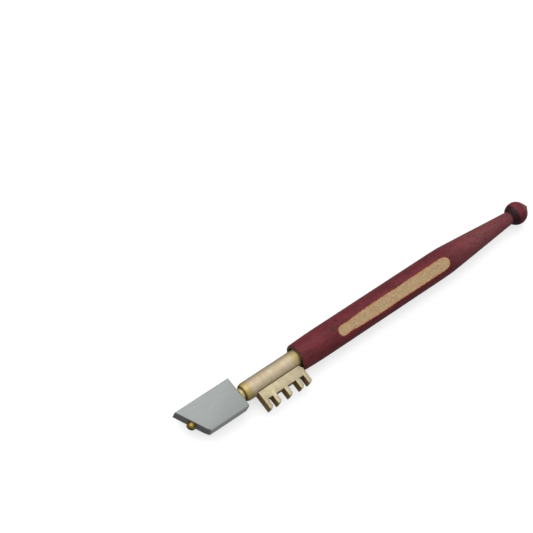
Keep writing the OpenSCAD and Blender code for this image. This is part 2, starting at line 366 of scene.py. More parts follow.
def make_barrel():
    """Bore, nose and barrel as one profile; the side under the comb is cut to the comb's plane."""
    t = np.linspace(0, np.pi / 2, 12)
    nose = np.stack([
        NOSE_X + NOSE_LEN * (1 - np.cos(t)),
        NOSE_FACE_R + (BARREL_R - NOSE_FACE_R) * np.sin(t),
    ], -1)
    body_x = np.linspace(NOSE_X + NOSE_LEN, TAIL_X - TAIL_EDGE, 90)[1:]
    body = np.stack([body_x, np.full_like(body_x, BARREL_R)], -1)
    bore = [[NOSE_X + SPINDLE_BORE, 0], [NOSE_X + SPINDLE_BORE, SPINDLE_BORE_R],
            [NOSE_X + LIP, SPINDLE_BORE_R], [NOSE_X, SPINDLE_BORE_R + LIP],
            [NOSE_X, NOSE_FACE_R - LIP]]
    end = [[TAIL_X, BARREL_R - TAIL_EDGE], [TAIL_X, 0]]
    profile = brace(np.concatenate([bore, nose, body, end]))
    angle = np.linspace(0, 2 * np.pi, 192, endpoint=False)
    x, r = profile[1:-1, 0, None], profile[1:-1, 1, None]
    side = np.sin(angle)
    under_comb = (x > comb_low.x) & (x < comb_high.x) & (r * side > COMB_SEAT)
    radius = np.where(under_comb, COMB_SEAT / np.clip(side, 0.1, None), r)
    piece = about_axis("barrel_turned", x, radius, angle, profile[[0, -1], 0])
    golden_and_shade = np.interp(x[:, 0], GOLDEN_AT, GOLDEN)
    add_values(piece, "golden_and_shade", np.append(np.repeat(golden_and_shade, len(angle)), [0, 0]))
    past_comb = np.abs(np.abs(angle - np.pi / 2) - np.arccos(COMB_SEAT / BARREL_R))
    beside = (x > comb_low.x - 0.2 * MM) & (x < MOUTH_X)
    # The solder line along the comb.
    solder_and_shade = beside * np.interp(past_comb * BARREL_R, SOLDER_LINE, [1, 0])
    # Painted shadow on the comb side where the barrel enters the handle, and painted shade along the +Y side
    # and under the barrel.
    painted_shade = np.interp(x, MOUTH_SHADE_RING, [0, 1]) * np.clip(side * 1.5, 0, 1)
    far_side_shade = np.interp(np.degrees(angle), FAR_SIDE_SHADE_DEGREES, FAR_SIDE_SHADE)
    painted_shade = np.maximum(painted_shade, far_side_shade * (x < MOUTH_X))
    add_values(piece, "solder_and_shade", np.append(np.maximum(solder_and_shade, painted_shade).ravel(), [0, 0]))
    return piece


barrel = make_barrel()
place_piece(barrel, "barrel", "stock")

# %% [markdown]
# ## Plates: the comb and the head
# Both plates are a flat outline with a small bevel all round. The surface is
# a profile carried along a path: the path is the outline, and the profile
# goes in from the top face, over the bevel, down the side, and under to the
# bottom face. Each point of the outline is moved inwards along the mitre of
# its two sides, which keeps the bevel one width round every corner. Wide
# corners are rounded first by putting an arc in their place.

# %% Helpers: outlines and plates
def round_corners(corners, radii, steps=8):
    """Replaces each corner by an arc of its radius that is tangent to both sides; radius 0 keeps it."""
    corners = np.asarray(corners, dtype=float)
    out = []
    for k, corner in enumerate(corners):
        r = radii[k]
        if r == 0:
            out.append(corner[None])
            continue
        to_last = corners[k - 1] - corner
        to_next = corners[(k + 1) % len(corners)] - corner
        to_last, to_next = to_last / np.linalg.norm(to_last), to_next / np.linalg.norm(to_next)
        half = np.arccos(np.clip(to_last @ to_next, -1, 1)) / 2
        middle = to_last + to_next
        centre = corner + middle / np.linalg.norm(middle) * r / np.sin(half)
        a, b = corner + to_last * r / np.tan(half) - centre, corner + to_next * r / np.tan(half) - centre
        turn = np.arctan2(a[0] * b[1] - a[1] * b[0], a @ b)
        t = np.linspace(0, turn, steps + 1)[:, None]
        out.append(centre + np.cos(t) * a + np.sin(t) * np.array([-a[1], a[0]]))
    return np.concatenate(out)


def split_sides(path, longest):
    """Adds points along each side so that no stretch is longer than longest."""
    out = []
    for a, b in zip(path, np.roll(path, -1, axis=0)):
        parts = max(1, int(np.ceil(np.linalg.norm(b - a) / longest)))
        out.append(a + (b - a) * np.linspace(0, 1, parts, endpoint=False)[:, None])
    return np.concatenate(out)


def inward(path):
    """Mitre direction of each point of a path that runs anticlockwise: one unit of bevel inwards."""
    before, after = path - np.roll(path, 1, axis=0), np.roll(path, -1, axis=0) - path
    before /= np.linalg.norm(before, axis=1)[:, None]
    after /= np.linalg.norm(after, axis=1)[:, None]
    n1, n2 = np.stack([-before[:, 1], before[:, 0]], -1), np.stack([-after[:, 1], after[:, 0]], -1)
    return (n1 + n2) / (1 + (n1 * n2).sum(1))[:, None]


def plate(name, path, low, high, bevel, steps=3):
    """Carries a bevelled edge along an anticlockwise path of (x, y) points, from height low to high.
    bevel is one width or one for each point; the quarter curve goes in by b(1 - cos) and up by b sin.
    Each face keeps |dy| of its side as "sawn": 1 on a wall square to X, 0 on a wall along it."""
    bevel = np.broadcast_to(np.asarray(bevel, dtype=float), len(path))
    t = np.linspace(0, np.pi / 2, steps + 1)
    inset = np.concatenate([1 - np.cos(t[::-1]), [0, 0], 1 - np.cos(t)])
    from_face = np.concatenate([1 - np.sin(t[::-1]), [1, 1], 1 - np.sin(t)])
    hold = np.zeros(len(inset))
    hold[steps + 1:steps + 3] = HOLD
    upper = (np.arange(len(inset)) > steps + 1)[:, None]
    drop = from_face[:, None] * bevel + hold[:, None]
    z = np.where(upper, high - drop, low + drop)
    xy = path[None] + inset[:, None, None] * bevel[None, :, None] * inward(path)[None]
    rings = np.concatenate([xy, z[..., None]], -1)
    n, m = z.shape
    caps = [list(range(m - 1, -1, -1)), list(range((n - 1) * m, n * m))]
    piece = add_piece(name, rings.reshape(-1, 3), grid_quads(n, m).tolist() + caps, flat_faces=2)
    piece.data.set_sharp_from_angle(angle=np.radians(35))
    add_values(piece, "edge", (np.sin(2 * np.pi * np.clip(inset, 0, 0.5))[:, None] + 0 * z).ravel())
    add_values(piece, "wall", ((1 - inset)[:, None] + 0 * z).ravel())
    side = np.roll(path, -1, axis=0) - path
    side /= np.linalg.norm(side, axis=1)[:, None]
    sawn_and_shade = np.append(np.tile(np.abs(side[:, 1]), n - 1), [0, 0])
    layer = piece.data.attributes.new("sawn_and_shade", "FLOAT", "FACE")
    layer.data.foreach_set("value", sawn_and_shade.astype(np.float32))
    return piece


# %% [markdown]
# The comb is sawn from brass strip: a back bar and five teeth, with four
# slots for panes of different thickness. The rear corner of every tooth is
# filed off, and so is the corner of the bar next to the handle. The saw
# leaves the walls rougher than the milled face. The walls are also painted
# darker, as shade, most where they stand square to the bar, with a mottle
# like saw marks.

# %% Build the comb
TOOTH_W = 1.75 * MM
SLOT_W = np.array([2.2, 3.8, 3.9, 2.1]) * MM
SEAT_EDGE, COMB_EDGE = 0.2 * MM, 0.07 * MM
RIM_STEP, TRACE = 0.5 * MM, 0.01 * MM
SLOT_FLOOR = AXIS_Y - 7.2 * MM
TOOTH_BEVEL = 0.7 * MM
HEEL_CUT = np.array([0.95, 1.7]) * MM


def comb_path():
    """Anticlockwise outline: along the tips of the teeth towards +X, then back along the bar."""
    seat_y = AXIS_Y - COMB_SEAT
    x = comb_low.x
    path = []
    for k in range(len(SLOT_W) + 1):
        end = x + TOOTH_W
        path += [[x, SLOT_FLOOR]] if k else []
        path += [[x, comb_low.y], [end - TOOTH_BEVEL, comb_low.y], [end, comb_low.y + TOOTH_BEVEL]]
        if k < len(SLOT_W):
            path += [[end, SLOT_FLOOR]]
            x = end + SLOT_W[k]
    path += [[comb_high.x, seat_y - HEEL_CUT[1]], [comb_high.x - HEEL_CUT[0], seat_y], [comb_low.x, seat_y]]
    return np.array(path)


path = split_sides(comb_path(), RIM_STEP)
on_seat = path[:, 1] > AXIS_Y - COMB_SEAT - TRACE
comb = plate("comb_plate", path, comb_low.z, comb_high.z, np.where(on_seat, SEAT_EDGE, COMB_EDGE))
place_piece(comb, "breaker_comb", "stock")

# %% [markdown]
# The head is a steel plate with one slanted end, the sole, that carries the
# diamond. Its edges are just broken with a stone, but the side next to the
# comb is rounded over, and so are the corners at both its ends, where the
# fingers would meet it. The soft edge has to stay smaller than both corners'
# radii, or the bevel would fold over itself.

# %% Build the head
HEAD_SETBACK, HEAD_LEAN = 7.3 * MM, 0.6 * MM
SOLE_CORNER_R, HEAD_CORNER_R = 0.8 * MM, 0.9 * MM
FINE_EDGE, SOFT_EDGE = 0.13 * MM, 0.75 * MM
SOFT_UNTIL, SOFT_GONE = 0.32 * MM, 1.92 * MM
SOLE_REACH = 0.06 * MM


def head_path():
    """Anticlockwise outline: the sole, the comb side and the back. The comb side's corners are round."""
    corners = [
        [head_low.x, head_high.y],
        [head_low.x + HEAD_SETBACK, head_low.y],
        [HEAD_BACK_X + HEAD_LEAN, head_low.y],
        [HEAD_BACK_X, head_high.y],
    ]
    return round_corners(corners, [0, SOLE_CORNER_R, HEAD_CORNER_R, 0])


path = split_sides(head_path(), RIM_STEP)
head_edge = np.interp(path[:, 1] - head_low.y, [SOFT_UNTIL, SOFT_GONE], [SOFT_EDGE, FINE_EDGE])
head = plate("head_plate", path, head_low.z, head_high.z, head_edge, steps=5)
place_piece(head, "head_block", "head")

# %% [markdown]
# ## The swivel
# The head turns on a brass spindle. Only its collar shows, as the bright
# ring between head and barrel, but the whole of it is made, with the groove
# in which the stop pin travels. The groove is part of the same surface: the
# radius drops where the station and the angle are both within it.

# %% Build the spindle
JOURNAL_R, SHANK_R = 1.75 * MM, 1.6 * MM
SHANK_START = collar_low.x
COLLAR_START, COLLAR_END = HEAD_BACK_X + 0.5 * MM, washer_low.x - 0.05 * MM
PIN_X = NOSE_X + 8.9 * MM
GROOVE_R, GROOVE_HALF, GROOVE_MARGIN = 0.85 * MM, 0.75 * MM, 0.2 * MM
SWING = np.radians(frame["joints"][0]["range_deg"][1])
STOP_R, STOP_TIP = 0.6 * MM, 1.05 * MM
GROOVE_ANGLE = SWING + np.arctan(STOP_R / STOP_TIP) + np.radians(4)


def make_spindle():
    """Shank, collar and journal, with the stop pin's groove cut into the underside."""
    end = collar_high.x
    edge = 0.25 * MM
    profile = brace(soften(
        [[SHANK_START, 0], [SHANK_START, SHANK_R], [COLLAR_START, SHANK_R], [COLLAR_START, COLLAR_R],
         [COLLAR_END, COLLAR_R], [COLLAR_END, JOURNAL_R], [end, JOURNAL_R], [end, 0]],
        [edge, 0, edge / 2, edge, 0, edge]))
    groove = PIN_X + np.linspace(-1, 1, 20) * (GROOVE_HALF + GROOVE_MARGIN)
    groove = np.stack([groove, np.full_like(groove, JOURNAL_R)], -1)
    before = profile[:, 0] < groove[0, 0]
    profile = np.concatenate([profile[before], groove, profile[~before]])
    angle = np.linspace(0, 2 * np.pi, 144, endpoint=False)
    x, r = profile[1:-1, 0, None], profile[1:-1, 1, None]
    below = np.abs(angle - np.pi)
    inside = (np.abs(x - PIN_X) < GROOVE_HALF) & (below < GROOVE_ANGLE)
    radius = np.where(inside, GROOVE_R, r)
    return about_axis("spindle_turned", x, radius, angle, profile[[0, -1], 0])


spindle = make_spindle()
place_piece(spindle, "spindle", "head")

# %% [markdown]
# The washer keeps the brass collar from wearing the brass nose of the
# barrel. It is a ring, so its profile is a closed loop and the grid wraps
# both ways, with no poles at all.

# %% Build the thrust washer
WASHER_R = (washer_high.z - washer_low.z) / 2
WASHER_EDGE = 0.06 * MM


def make_washer():
    """A rectangle with softened corners, turned about the axis."""
    low, high, bore, rim = washer_low.x, washer_high.x, SPINDLE_BORE_R, WASHER_R
    loop = [[low, bore], [low, rim], [high, rim], [high, bore], [low, bore]]
    profile = soften(loop, [WASHER_EDGE] * 3, steps=3)[:-1]
    return turned("washer_ring", profile, 144, np.eye(3), (0, AXIS_Y, AXIS_Z))


washer = make_washer()
place_piece(washer, "thrust_washer", "stock")

# %% [markdown]
# Two small pins are driven in from outside and filed back to the round they
# sit in. Their ends are part of that round, so height = sqrt(R^2 - v^2),
# where v is the distance across the tool. They stand a few hundredths of a
# millimetre proud, which is what a file leaves, and which gives them a
# thin bright line of their own.

# %% Build the pins
PIN_PROUD, PIN_EDGE = 0.03 * MM, 0.048 * MM


def make_pin(name, station, turn, round_r, pin_r, inner_r):
    """Disc of rings on a cylinder of radius round_r, then straight down to distance inner_r.
    turn is the pin's angle about the tool's axis, from +Z towards +Y."""
    across = np.array([0.02, 0.3, 0.6, 0.85, 0.97, 1.0, 1.0, 1.0]) * pin_r
    sunk = np.array([0, 0, 0, 0, 0.15, 0.5, 1.0, 0]) * PIN_EDGE
    t = np.linspace(0, 2 * np.pi, 48, endpoint=False)
    u, v = across[:, None] * np.cos(t), across[:, None] * np.sin(t)
    height = np.sqrt((round_r + PIN_PROUD) ** 2 - v ** 2) - sunk[:, None]
    height[-1] = inner_r
    tangent = np.array([0, np.cos(turn), -np.sin(turn)])
    outward = np.array([0, np.sin(turn), np.cos(turn)])
    base = np.array([station, AXIS_Y, AXIS_Z])
    rings = base + u[..., None] * [1, 0, 0] - v[..., None] * tangent + height[..., None] * outward
    first = base + outward * (round_r + PIN_PROUD)
    return closed_rings(name, rings, first, base + outward * inner_r)


BRAD_X, BRAD_TURN, BRAD_R = MOUTH_X + 20.9 * MM, np.radians(31), 0.55 * MM
BRAD_TIP = GRIP_R - 7.5 * MM

stop_pin = make_pin("stop_pin", PIN_X, np.pi, BARREL_R, STOP_R, STOP_TIP)
place_piece(stop_pin, "swivel_pin", "stock")
brad = make_pin("brad_head", BRAD_X, BRAD_TURN, GRIP_R, BRAD_R, BRAD_TIP)
place_piece(brad, "handle_pin", "stock")

# %% [markdown]
# ## The diamond and its holder
# The diamond sits in a drilled brass rod, which is set into the sole of the
# head. The rod's end is bevelled so that it clears the glass. The stone is a
# small crystal with a square stem and a four-sided point, held by a pool of
# braze that creeps a little way up its sides.

# %% Build the holder
HOLDER_R, HOLDER_OUT, HOLDER_IN, HOLDER_BEVEL = 1.7 * MM, 2.0 * MM, 7.0 * MM, 0.5 * MM
BRAZE_R, BRAZE_DEEP, BRAZE_PROUD = 0.8 * MM, 0.6 * MM, 0.1 * MM
sole_turn = np.pi + np.arctan2(HEAD_SETBACK, head_high.y - head_low.y)
sole_axes = np.array(Matrix.Rotation(sole_turn, 3, "Z"))
sole_middle = np.array([head_low.x + HEAD_SETBACK / 2, (head_low.y + head_high.y) / 2, AXIS_Z])


def make_holder():
    """Rod with a bevelled end and a drilled seat, turned about the line square to the sole."""
    seat = HOLDER_OUT - BRAZE_DEEP
    corners = [[-HOLDER_IN, 0], [-HOLDER_IN, HOLDER_R], [HOLDER_OUT - HOLDER_BEVEL, HOLDER_R],
               [HOLDER_OUT, HOLDER_R - HOLDER_BEVEL], [HOLDER_OUT, BRAZE_R], [seat, BRAZE_R], [seat, 0]]
    profile = brace(soften(corners, [0, 0.08 * MM, 0.08 * MM, 0.04 * MM, 0]))
    piece = turned("holder_rod", profile, 96, sole_axes, sole_middle)
    points = np.empty(3 * len(piece.data.vertices), dtype=np.float32)
    piece.data.vertices.foreach_get("co", points)
    out = (points.reshape(-1, 3) - sole_middle) @ sole_axes[:, 0]
    # Painted shade: the rod is dark brown for about half a millimetre out of the sole.
    add_values(piece, "golden_and_shade", np.interp(out, [0.2 * MM, 0.7 * MM], [1, 0]))
    add_values(piece, "solder_and_shade", 0 * out)
    return piece


holder = make_holder()
place_piece(holder, "diamond_holder", "head")

# %% [markdown]
# The stone's rings are squares with rounded corners. Each row says how far
# out of the holder's end it lies, in millimetres, and its share of the
# stone's half width: a straight stem first, and then the point.

# %% Build the braze and the stone
STONE_HALF = 0.4 * MM
STONE_ROWS = np.array([[-0.5, 1], [0.1, 1], [0.13, 0.97], [0.5, 0.18], [0.55, 0.05]])


def make_braze():
    """A disc whose top sags from the stone to the rim, height = proud (1 - (r / R)^2) + a trace."""
    r = np.linspace(0.02, 1, 9)[::-1] * BRAZE_R
    top = HOLDER_OUT + BRAZE_PROUD * (0.2 + 0.8 * (1 - (r / BRAZE_R) ** 2))
    back = HOLDER_OUT - BRAZE_DEEP
    profile = np.concatenate([[[back, 0], [back, BRAZE_R]], np.stack([top, r], -1), [[top[-1], 0]]])
    return turned("braze_pool", profile, 64, sole_axes, sole_middle)


def make_stone():
    """Rounded-square rings, r(a) = w / (|cos a|^p + |sin a|^p)^(1/p), that narrow to the point."""
    a = np.linspace(0, 2 * np.pi, 64, endpoint=False)
    power = 12
    square = (np.abs(np.cos(a)) ** power + np.abs(np.sin(a)) ** power) ** (-1 / power)
    x = HOLDER_OUT + STONE_ROWS[:, :1] * MM + 0 * a
    r = STONE_ROWS[:, 1:] * STONE_HALF * square
    piece = about_axis("diamond_stone", x, r, a, x[[0, -1], 0], sole_axes, sole_middle)
    piece.data.set_sharp_from_angle(angle=np.radians(25))
    return piece


braze, stone = make_braze(), make_stone()
place_piece(braze, "diamond_setting", "head")
place_piece(stone, "diamond", "head")
for piece in (spindle, washer, stop_pin, brad, holder):
    add_values(piece, "edge", np.zeros(len(piece.data.vertices)))

# %% [markdown]
# ## Materials
# Every finish is made of nodes, so it has no picture to stretch and no seam.
# The helpers each add one node with its settings and inputs, and return the
# output that the next one needs. An input takes either a number or another
# node's output.

# %% Helpers for node trees
def add(tree, kind, inputs=None, **settings):
    """Adds a node, applies its settings, and sets or links each input by name or number."""
    made = tree.nodes.new(kind)
    for key, value in settings.items():
        setattr(made, key, value)
    for key, value in (inputs or {}).items():
        if isinstance(value, bpy.types.NodeSocket):
            tree.links.new(value, made.inputs[key])
        else:
            made.inputs[key].default_value = value
    return made


def blend(tree, mask, a, b):
    """Colour a where the mask is 0 and b where it is 1."""
    return add(tree, "ShaderNodeMix", {0: mask, 6: a, 7: b}, data_type="RGBA").outputs[2]


def math(tree, operation, a, b, clamp=False):
    """One step of arithmetic."""
    return add(tree, "ShaderNodeMath", {0: a, 1: b}, operation=operation, use_clamp=clamp).outputs[0]


def tint(tree, color, mask, amount, other):
    """Mixes the other colour in where the mask is, up to the amount."""
    return blend(tree, math(tree, "MULTIPLY", mask, amount), color, other)


def ramp(tree, value, low, high, to_low=0.0, to_high=1.0):
    """Maps a value from low..high to to_low..to_high, smoothly and held at both ends."""
    inputs = {"Value": value, "From Min": low, "From Max": high, "To Min": to_low, "To Max": to_high}
    return add(tree, "ShaderNodeMapRange", inputs, interpolation_type="SMOOTHSTEP").outputs[0]


def noise(tree, vector, scale, detail=2.0, stretch=(1, 1, 1), roughness=0.5):
    """Noise in millimetres: scale is in cycles per millimetre, and stretch squeezes each axis."""
    grow = [s / MM for s in stretch]
    mapped = add(tree, "ShaderNodeMapping", {"Vector": vector, "Scale": grow})
    inputs = {"Vector": mapped.outputs[0], "Scale": scale, "Detail": detail, "Roughness": roughness}
    return add(tree, "ShaderNodeTexNoise", inputs).outputs[0]


def srgb(red, green, blue):
    """A colour stated as 0..255 display values, as the linear values that a shader needs."""
    c = np.array([red, green, blue]) / 255
    linear = np.where(c <= 0.04045, c / 12.92, ((c + 0.055) / 1.055) ** 2.4)
    return (*linear.tolist(), 1.0)


# %% [markdown]
# Some effects are needed on several pieces, so each becomes a node group.
# `Turned lines` gives the fine rings that a tool leaves round a bar: noise
# that changes quickly along the bar and hardly at all round it. `Edge wear`
# breaks up the edge attribute that the meshes carry, so that a worn edge
# isn't a ruled line. `Dust and specks` scatters small marks over a soft
# haze, and `Wood grain` has long fine pores and wide blotches of stain.

# %% Shared node groups
def new_group(name, sockets_in, sockets_out):
    """A shader node group whose first input is a position, and whose other sockets are numbers."""
    group = bpy.data.node_groups.new(name, "ShaderNodeTree")
    group.interface.new_socket("Vector", in_out="INPUT", socket_type="NodeSocketVector")
    for label in sockets_in:
        group.interface.new_socket(label, in_out="INPUT", socket_type="NodeSocketFloat")
    for label in sockets_out:
        group.interface.new_socket(label, in_out="OUTPUT", socket_type="NodeSocketFloat")
    return group, group.nodes.new("NodeGroupInput").outputs, group.nodes.new("NodeGroupOutput").inputs


def make_masks(name, masks):
    """A group of masks. Each is a noise that is ramped up between two levels, low and high."""
    group, given, result = new_group(name, [], masks)
    for label, (low, high, *settings) in masks.items():
        layer = noise(group, given["Vector"], *settings)
        group.links.new(ramp(group, layer, low, high), result[label])
    return group


def make_turned_lines():
    """Rings: noise stretched so that it varies along X, with a slow drift that mottles them."""
    group, given, result = new_group("Turned lines", [], ["Lines", "Mottle"])
    fine = noise(group, given["Vector"], 1.0, 3.0, (5.0, 0.12, 0.12), 0.65)
    coarse = noise(group, given["Vector"], 1.0, 2.0, (1.3, 0.05, 0.05), 0.5)
    both = math(group, "ADD", math(group, "MULTIPLY", fine, 0.65), math(group, "MULTIPLY", coarse, 0.35))
    group.links.new(ramp(group, both, 0.32, 0.68), result["Lines"])
    group.links.new(ramp(group, noise(group, given["Vector"], 0.35, 4.0), 0.3, 0.7), result["Mottle"])
    return group


def make_edge_wear():
    """The edge attribute, thinned by noise: wear = edge * (0.35 + noise), held below 1."""
    group, given, result = new_group("Edge wear", ["Edge"], ["Wear"])
    patchy = math(group, "ADD", noise(group, given["Vector"], 1.5, 4.0), 0.35)
    group.links.new(math(group, "MULTIPLY", given["Edge"], patchy, clamp=True), result["Wear"])
    return group


turned_lines, edge_wear = make_turned_lines(), make_edge_wear()
specks = make_masks("Dust and specks", {
    "Specks": (0.66, 0.76, 3.2, 2.0), "Haze": (0.35, 0.75, 0.8, 5.0, (1, 1, 1), 0.7)})
wood_grain = make_masks("Wood grain", {
    "Pores": (0.42, 0.66, 1.0, 3.0, (0.22, 3.2, 3.2), 0.6),
    "Blotch": (0.3, 0.7, 0.16, 4.0, (0.8, 1.6, 1.6), 0.6)})
print("node groups:", [group.name for group in bpy.data.node_groups])

# %% [markdown]
# The materials all begin in the same way, and read the meshes' numbers and
# the shared groups in the same way, so that is done once here.

# %% Start a material
def start(name):
    """A material with its tree, its Principled shader and the object coordinates, ready to link."""
    material = bpy.data.materials.new(name)
    material.use_nodes = True
    tree = material.node_tree
    shader = tree.nodes["Principled BSDF"]
    where = add(tree, "ShaderNodeTexCoord").outputs["Object"]
    return material, tree, shader, where


def attribute(tree, name):
    """One of the numbers that the mesh carries for each vertex."""
    return add(tree, "ShaderNodeAttribute", attribute_name=name).outputs["Fac"]


def use_group(tree, group, inputs):
    """Adds a shared group and returns its outputs by name."""
    return add(tree, "ShaderNodeGroup", inputs, node_tree=group).outputs


def link(tree, shader, **values):
    """Feeds the shader's inputs; an underscore in a name stands for a space."""
    for name, value in values.items():
        tree.links.new(value, shader.inputs[name.replace("_", " ")])


def bump(tree, height, distance_mm, strength=1.0):
    """A bump normal from a height between 0 and 1, whose full range stands for distance_mm."""
    inputs = {"Height": height, "Distance": distance_mm * MM, "Strength": strength}
    return add(tree, "ShaderNodeBump", inputs).outputs[0]


# %% [markdown]
# ### Stained wood
# The stain is a dark red dye under a thin satin varnish. It is uneven:
# blotches where the wood drank more of it, pores that stay dark, and a
# lighter haze of dust and fine scratches on top. Inside the flat the dye is
# sanded away, so the tan wood shows with the marks of the belt, and the rim
# has a thin orange line where the dye has soaked in but the varnish is gone.

# %% The handle's material
STAIN_DARK, STAIN_RED = srgb(80, 22, 30), srgb(108, 32, 41)
STAIN_DEEP, PAINTED_NECK_SHADE, DUST = srgb(56, 20, 25), srgb(34, 12, 15), srgb(150, 104, 104)
BARE, BARE_DARK, RIM_ORANGE = srgb(186, 162, 126), srgb(148, 118, 86), srgb(150, 84, 52)
END_WOOD, END_DARK, PAINTED_BORE_SHADE = srgb(104, 92, 80), srgb(62, 46, 38), srgb(26, 16, 14)


def make_stained_wood():
    """Stain with grain and blotches; bare wood where flat_inside > 0; end wood at the mouth."""
    material, tree, shader, where = start("Stained wood")
    grain = use_group(tree, wood_grain, {"Vector": where})
    dust = use_group(tree, specks, {"Vector": where})
    fine = ramp(tree, noise(tree, where, 1.1, 5.0, (0.6, 1.2, 1.2), 0.7), 0.3, 0.7)
    stain_and_shade = blend(tree, grain["Blotch"], STAIN_DARK, STAIN_RED)
    stain_and_shade = tint(tree, stain_and_shade, fine, 0.4, STAIN_DARK)
    stain_and_shade = tint(tree, stain_and_shade, grain["Pores"], 0.4, STAIN_DEEP)
    stain_and_shade = tint(tree, stain_and_shade, dust["Haze"], 0.08, DUST)
    stain_and_shade = tint(tree, stain_and_shade, dust["Specks"], 0.25, DUST)
    # Painted shade: the ball's side towards the neck is painted near-black.
    stain_and_shade = tint(tree, stain_and_shade, attribute(tree, "neck_shade"), 0.95, PAINTED_NECK_SHADE)
    stain_and_shade = tint(tree, stain_and_shade, attribute(tree, "worn"), ramp(tree, fine, 0, 1, 0.2, 0.7), DUST)

    belt = noise(tree, where, 1.3, 5.0, (1, 1.5, 1.5), 0.7)
    bare = blend(tree, ramp(tree, belt, 0.3, 0.7), BARE, BARE_DARK)
    bare = tint(tree, bare, grain["Pores"], 0.5, BARE_DARK)
    wobble = noise(tree, where, 1.4, 3.0)
    inside = math(tree, "ADD", attribute(tree, "flat_inside"), ramp(tree, wobble, 0.3, 0.7, -0.12, 0.12))
    line = blend(tree, ramp(tree, inside, 0.1, 0.34), RIM_ORANGE, bare)
    color = blend(tree, ramp(tree, inside, -0.06, 0.06), stain_and_shade, line)

    end = blend(tree, noise(tree, where, 1.6, 4.0), END_DARK, END_WOOD)
    mouth = attribute(tree, "end_wood_and_shade")
    # Painted shade: the bore and the lip round the barrel are painted near-black.
    end = blend(tree, ramp(tree, mouth, 1.0, 1.5), end, PAINTED_BORE_SHADE)
    color = blend(tree, ramp(tree, mouth, 0.35, 0.7), color, end)

    unvarnished = math(tree, "MAXIMUM", ramp(tree, inside, -0.05, 0.1), mouth, clamp=True)
    rough = ramp(tree, dust["Haze"], 0, 1, 0.42, 0.58)
    rough = add(tree, "ShaderNodeMix", {0: unvarnished, 2: rough, 3: 0.8}).outputs[0]
    coat = ramp(tree, unvarnished, 0, 1, 0.05, 0.0)
    height = math(tree, "SUBTRACT", math(tree, "MULTIPLY", dust["Haze"], 0.4), grain["Pores"])
    link(tree, shader, Base_Color=color, Roughness=rough, Coat_Weight=coat, Normal=bump(tree, height, 0.03))
    shader.inputs["Coat Roughness"].default_value = 0.35
    shader.inputs["Specular IOR Level"].default_value = 0.15
    return material


handle.data.materials.append(make_stained_wood())

# %% [markdown]
# ### Brass
# One recipe serves the barrel, the comb, the collar and the holder, with a
# different yellow for each. Lacquer and handling make it pale and satin.
# The tool's rings vary the roughness more than the colour, tarnish gathers
# in soft brown patches, and a worn edge is brighter.

# %% Brass materials
# The first two colours are painted shade for the comb's walls.
PAINTED_WALL_SHADE, PAINTED_WALL_SHADE_PALE, TARNISH = srgb(134, 110, 78), srgb(176, 150, 114), srgb(96, 70, 42)
SEAM_AND_SHADE_BROWN = srgb(70, 54, 36)


def make_brass(name, light, dark, rough, tarnish, mask=None, masked=None):
    """Metal whose colour runs from dark to light with the mottle; masked is shown where mask is 1."""
    material, tree, shader, where = start(name)
    lines = use_group(tree, turned_lines, {"Vector": where})
    dust = use_group(tree, specks, {"Vector": where})
    wear = use_group(tree, edge_wear, {"Vector": where, "Edge": attribute(tree, "edge")})["Wear"]
    tone = math(tree, "MULTIPLY", math(tree, "ADD", lines["Lines"], lines["Mottle"]), 0.5)
    color = blend(tree, tone, dark, light)
    level = ramp(tree, tone, 0, 1, rough + 0.08, rough - 0.04)
    if mask == "golden_and_shade":
        # On the barrel this mask is the yellower nose and mouth end; on the holder it is painted shade at
        # the rod's foot.
        color = blend(tree, attribute(tree, "golden_and_shade"), color, masked)
        # The solder line, and painted shade on the barrel.
        color = tint(tree, color, attribute(tree, "solder_and_shade"), 0.85, SEAM_AND_SHADE_BROWN)
    if mask == "sawn_and_shade":
        # Painted shade: the walls are painted darker, most where they stand square to the bar; they are
        # rougher too.
        sides = math(tree, "MAXIMUM", attribute(tree, "sawn_and_shade"), 0.3)
        sides = math(tree, "MULTIPLY", sides, ramp(tree, attribute(tree, "wall"), 0.6, 1.0))
        color = blend(tree, sides, color, blend(tree, noise(tree, where, 2.0, 4.0), PAINTED_WALL_SHADE, masked))
        level = math(tree, "ADD", level, math(tree, "MULTIPLY", sides, 0.2))
    color = tint(tree, color, dust["Haze"], tarnish, TARNISH)
    color = tint(tree, color, dust["Specks"], 0.3, TARNISH)
    color = tint(tree, color, wear, 0.5, light)
    link(tree, shader, Base_Color=color, Roughness=level, Normal=bump(tree, lines["Lines"], 0.012, 0.5))
    shader.inputs["Metallic"].default_value = 1.0
    return material


barrel.data.materials.append(make_brass(
    "Pale brass", srgb(199, 186, 161), srgb(186, 171, 143), 0.6, 0.08, "golden_and_shade", srgb(182, 162, 106)))
comb.data.materials.append(make_brass(
    "Comb brass", srgb(184, 174, 146), srgb(170, 158, 128), 0.5, 0.1, "sawn_and_shade", PAINTED_WALL_SHADE_PALE))
spindle.data.materials.append(make_brass(
    "Bright brass", srgb(208, 194, 140), srgb(184, 168, 108), 0.52, 0.08))
# The holder's masked colour is painted shade at the rod's foot.
holder.data.materials.append(make_brass(
    "Golden brass", srgb(176, 154, 84), srgb(126, 104, 50), 0.4, 0.3, "golden_and_shade", SEAM_AND_SHADE_BROWN))

# %% [markdown]
# ### Steel
# The head is ground on a wheel, which leaves a faint straight grain along
# it. Its walls are painted lighter than its top, as light, and its sole is
# painted darker, as shade. The grain is noise that changes quickly across
# the head and slowly along it. `path` is still the head's outline here, and
# says which points are on the sole.

# %% Steel materials
STEEL_SPECK = srgb(70, 66, 60)


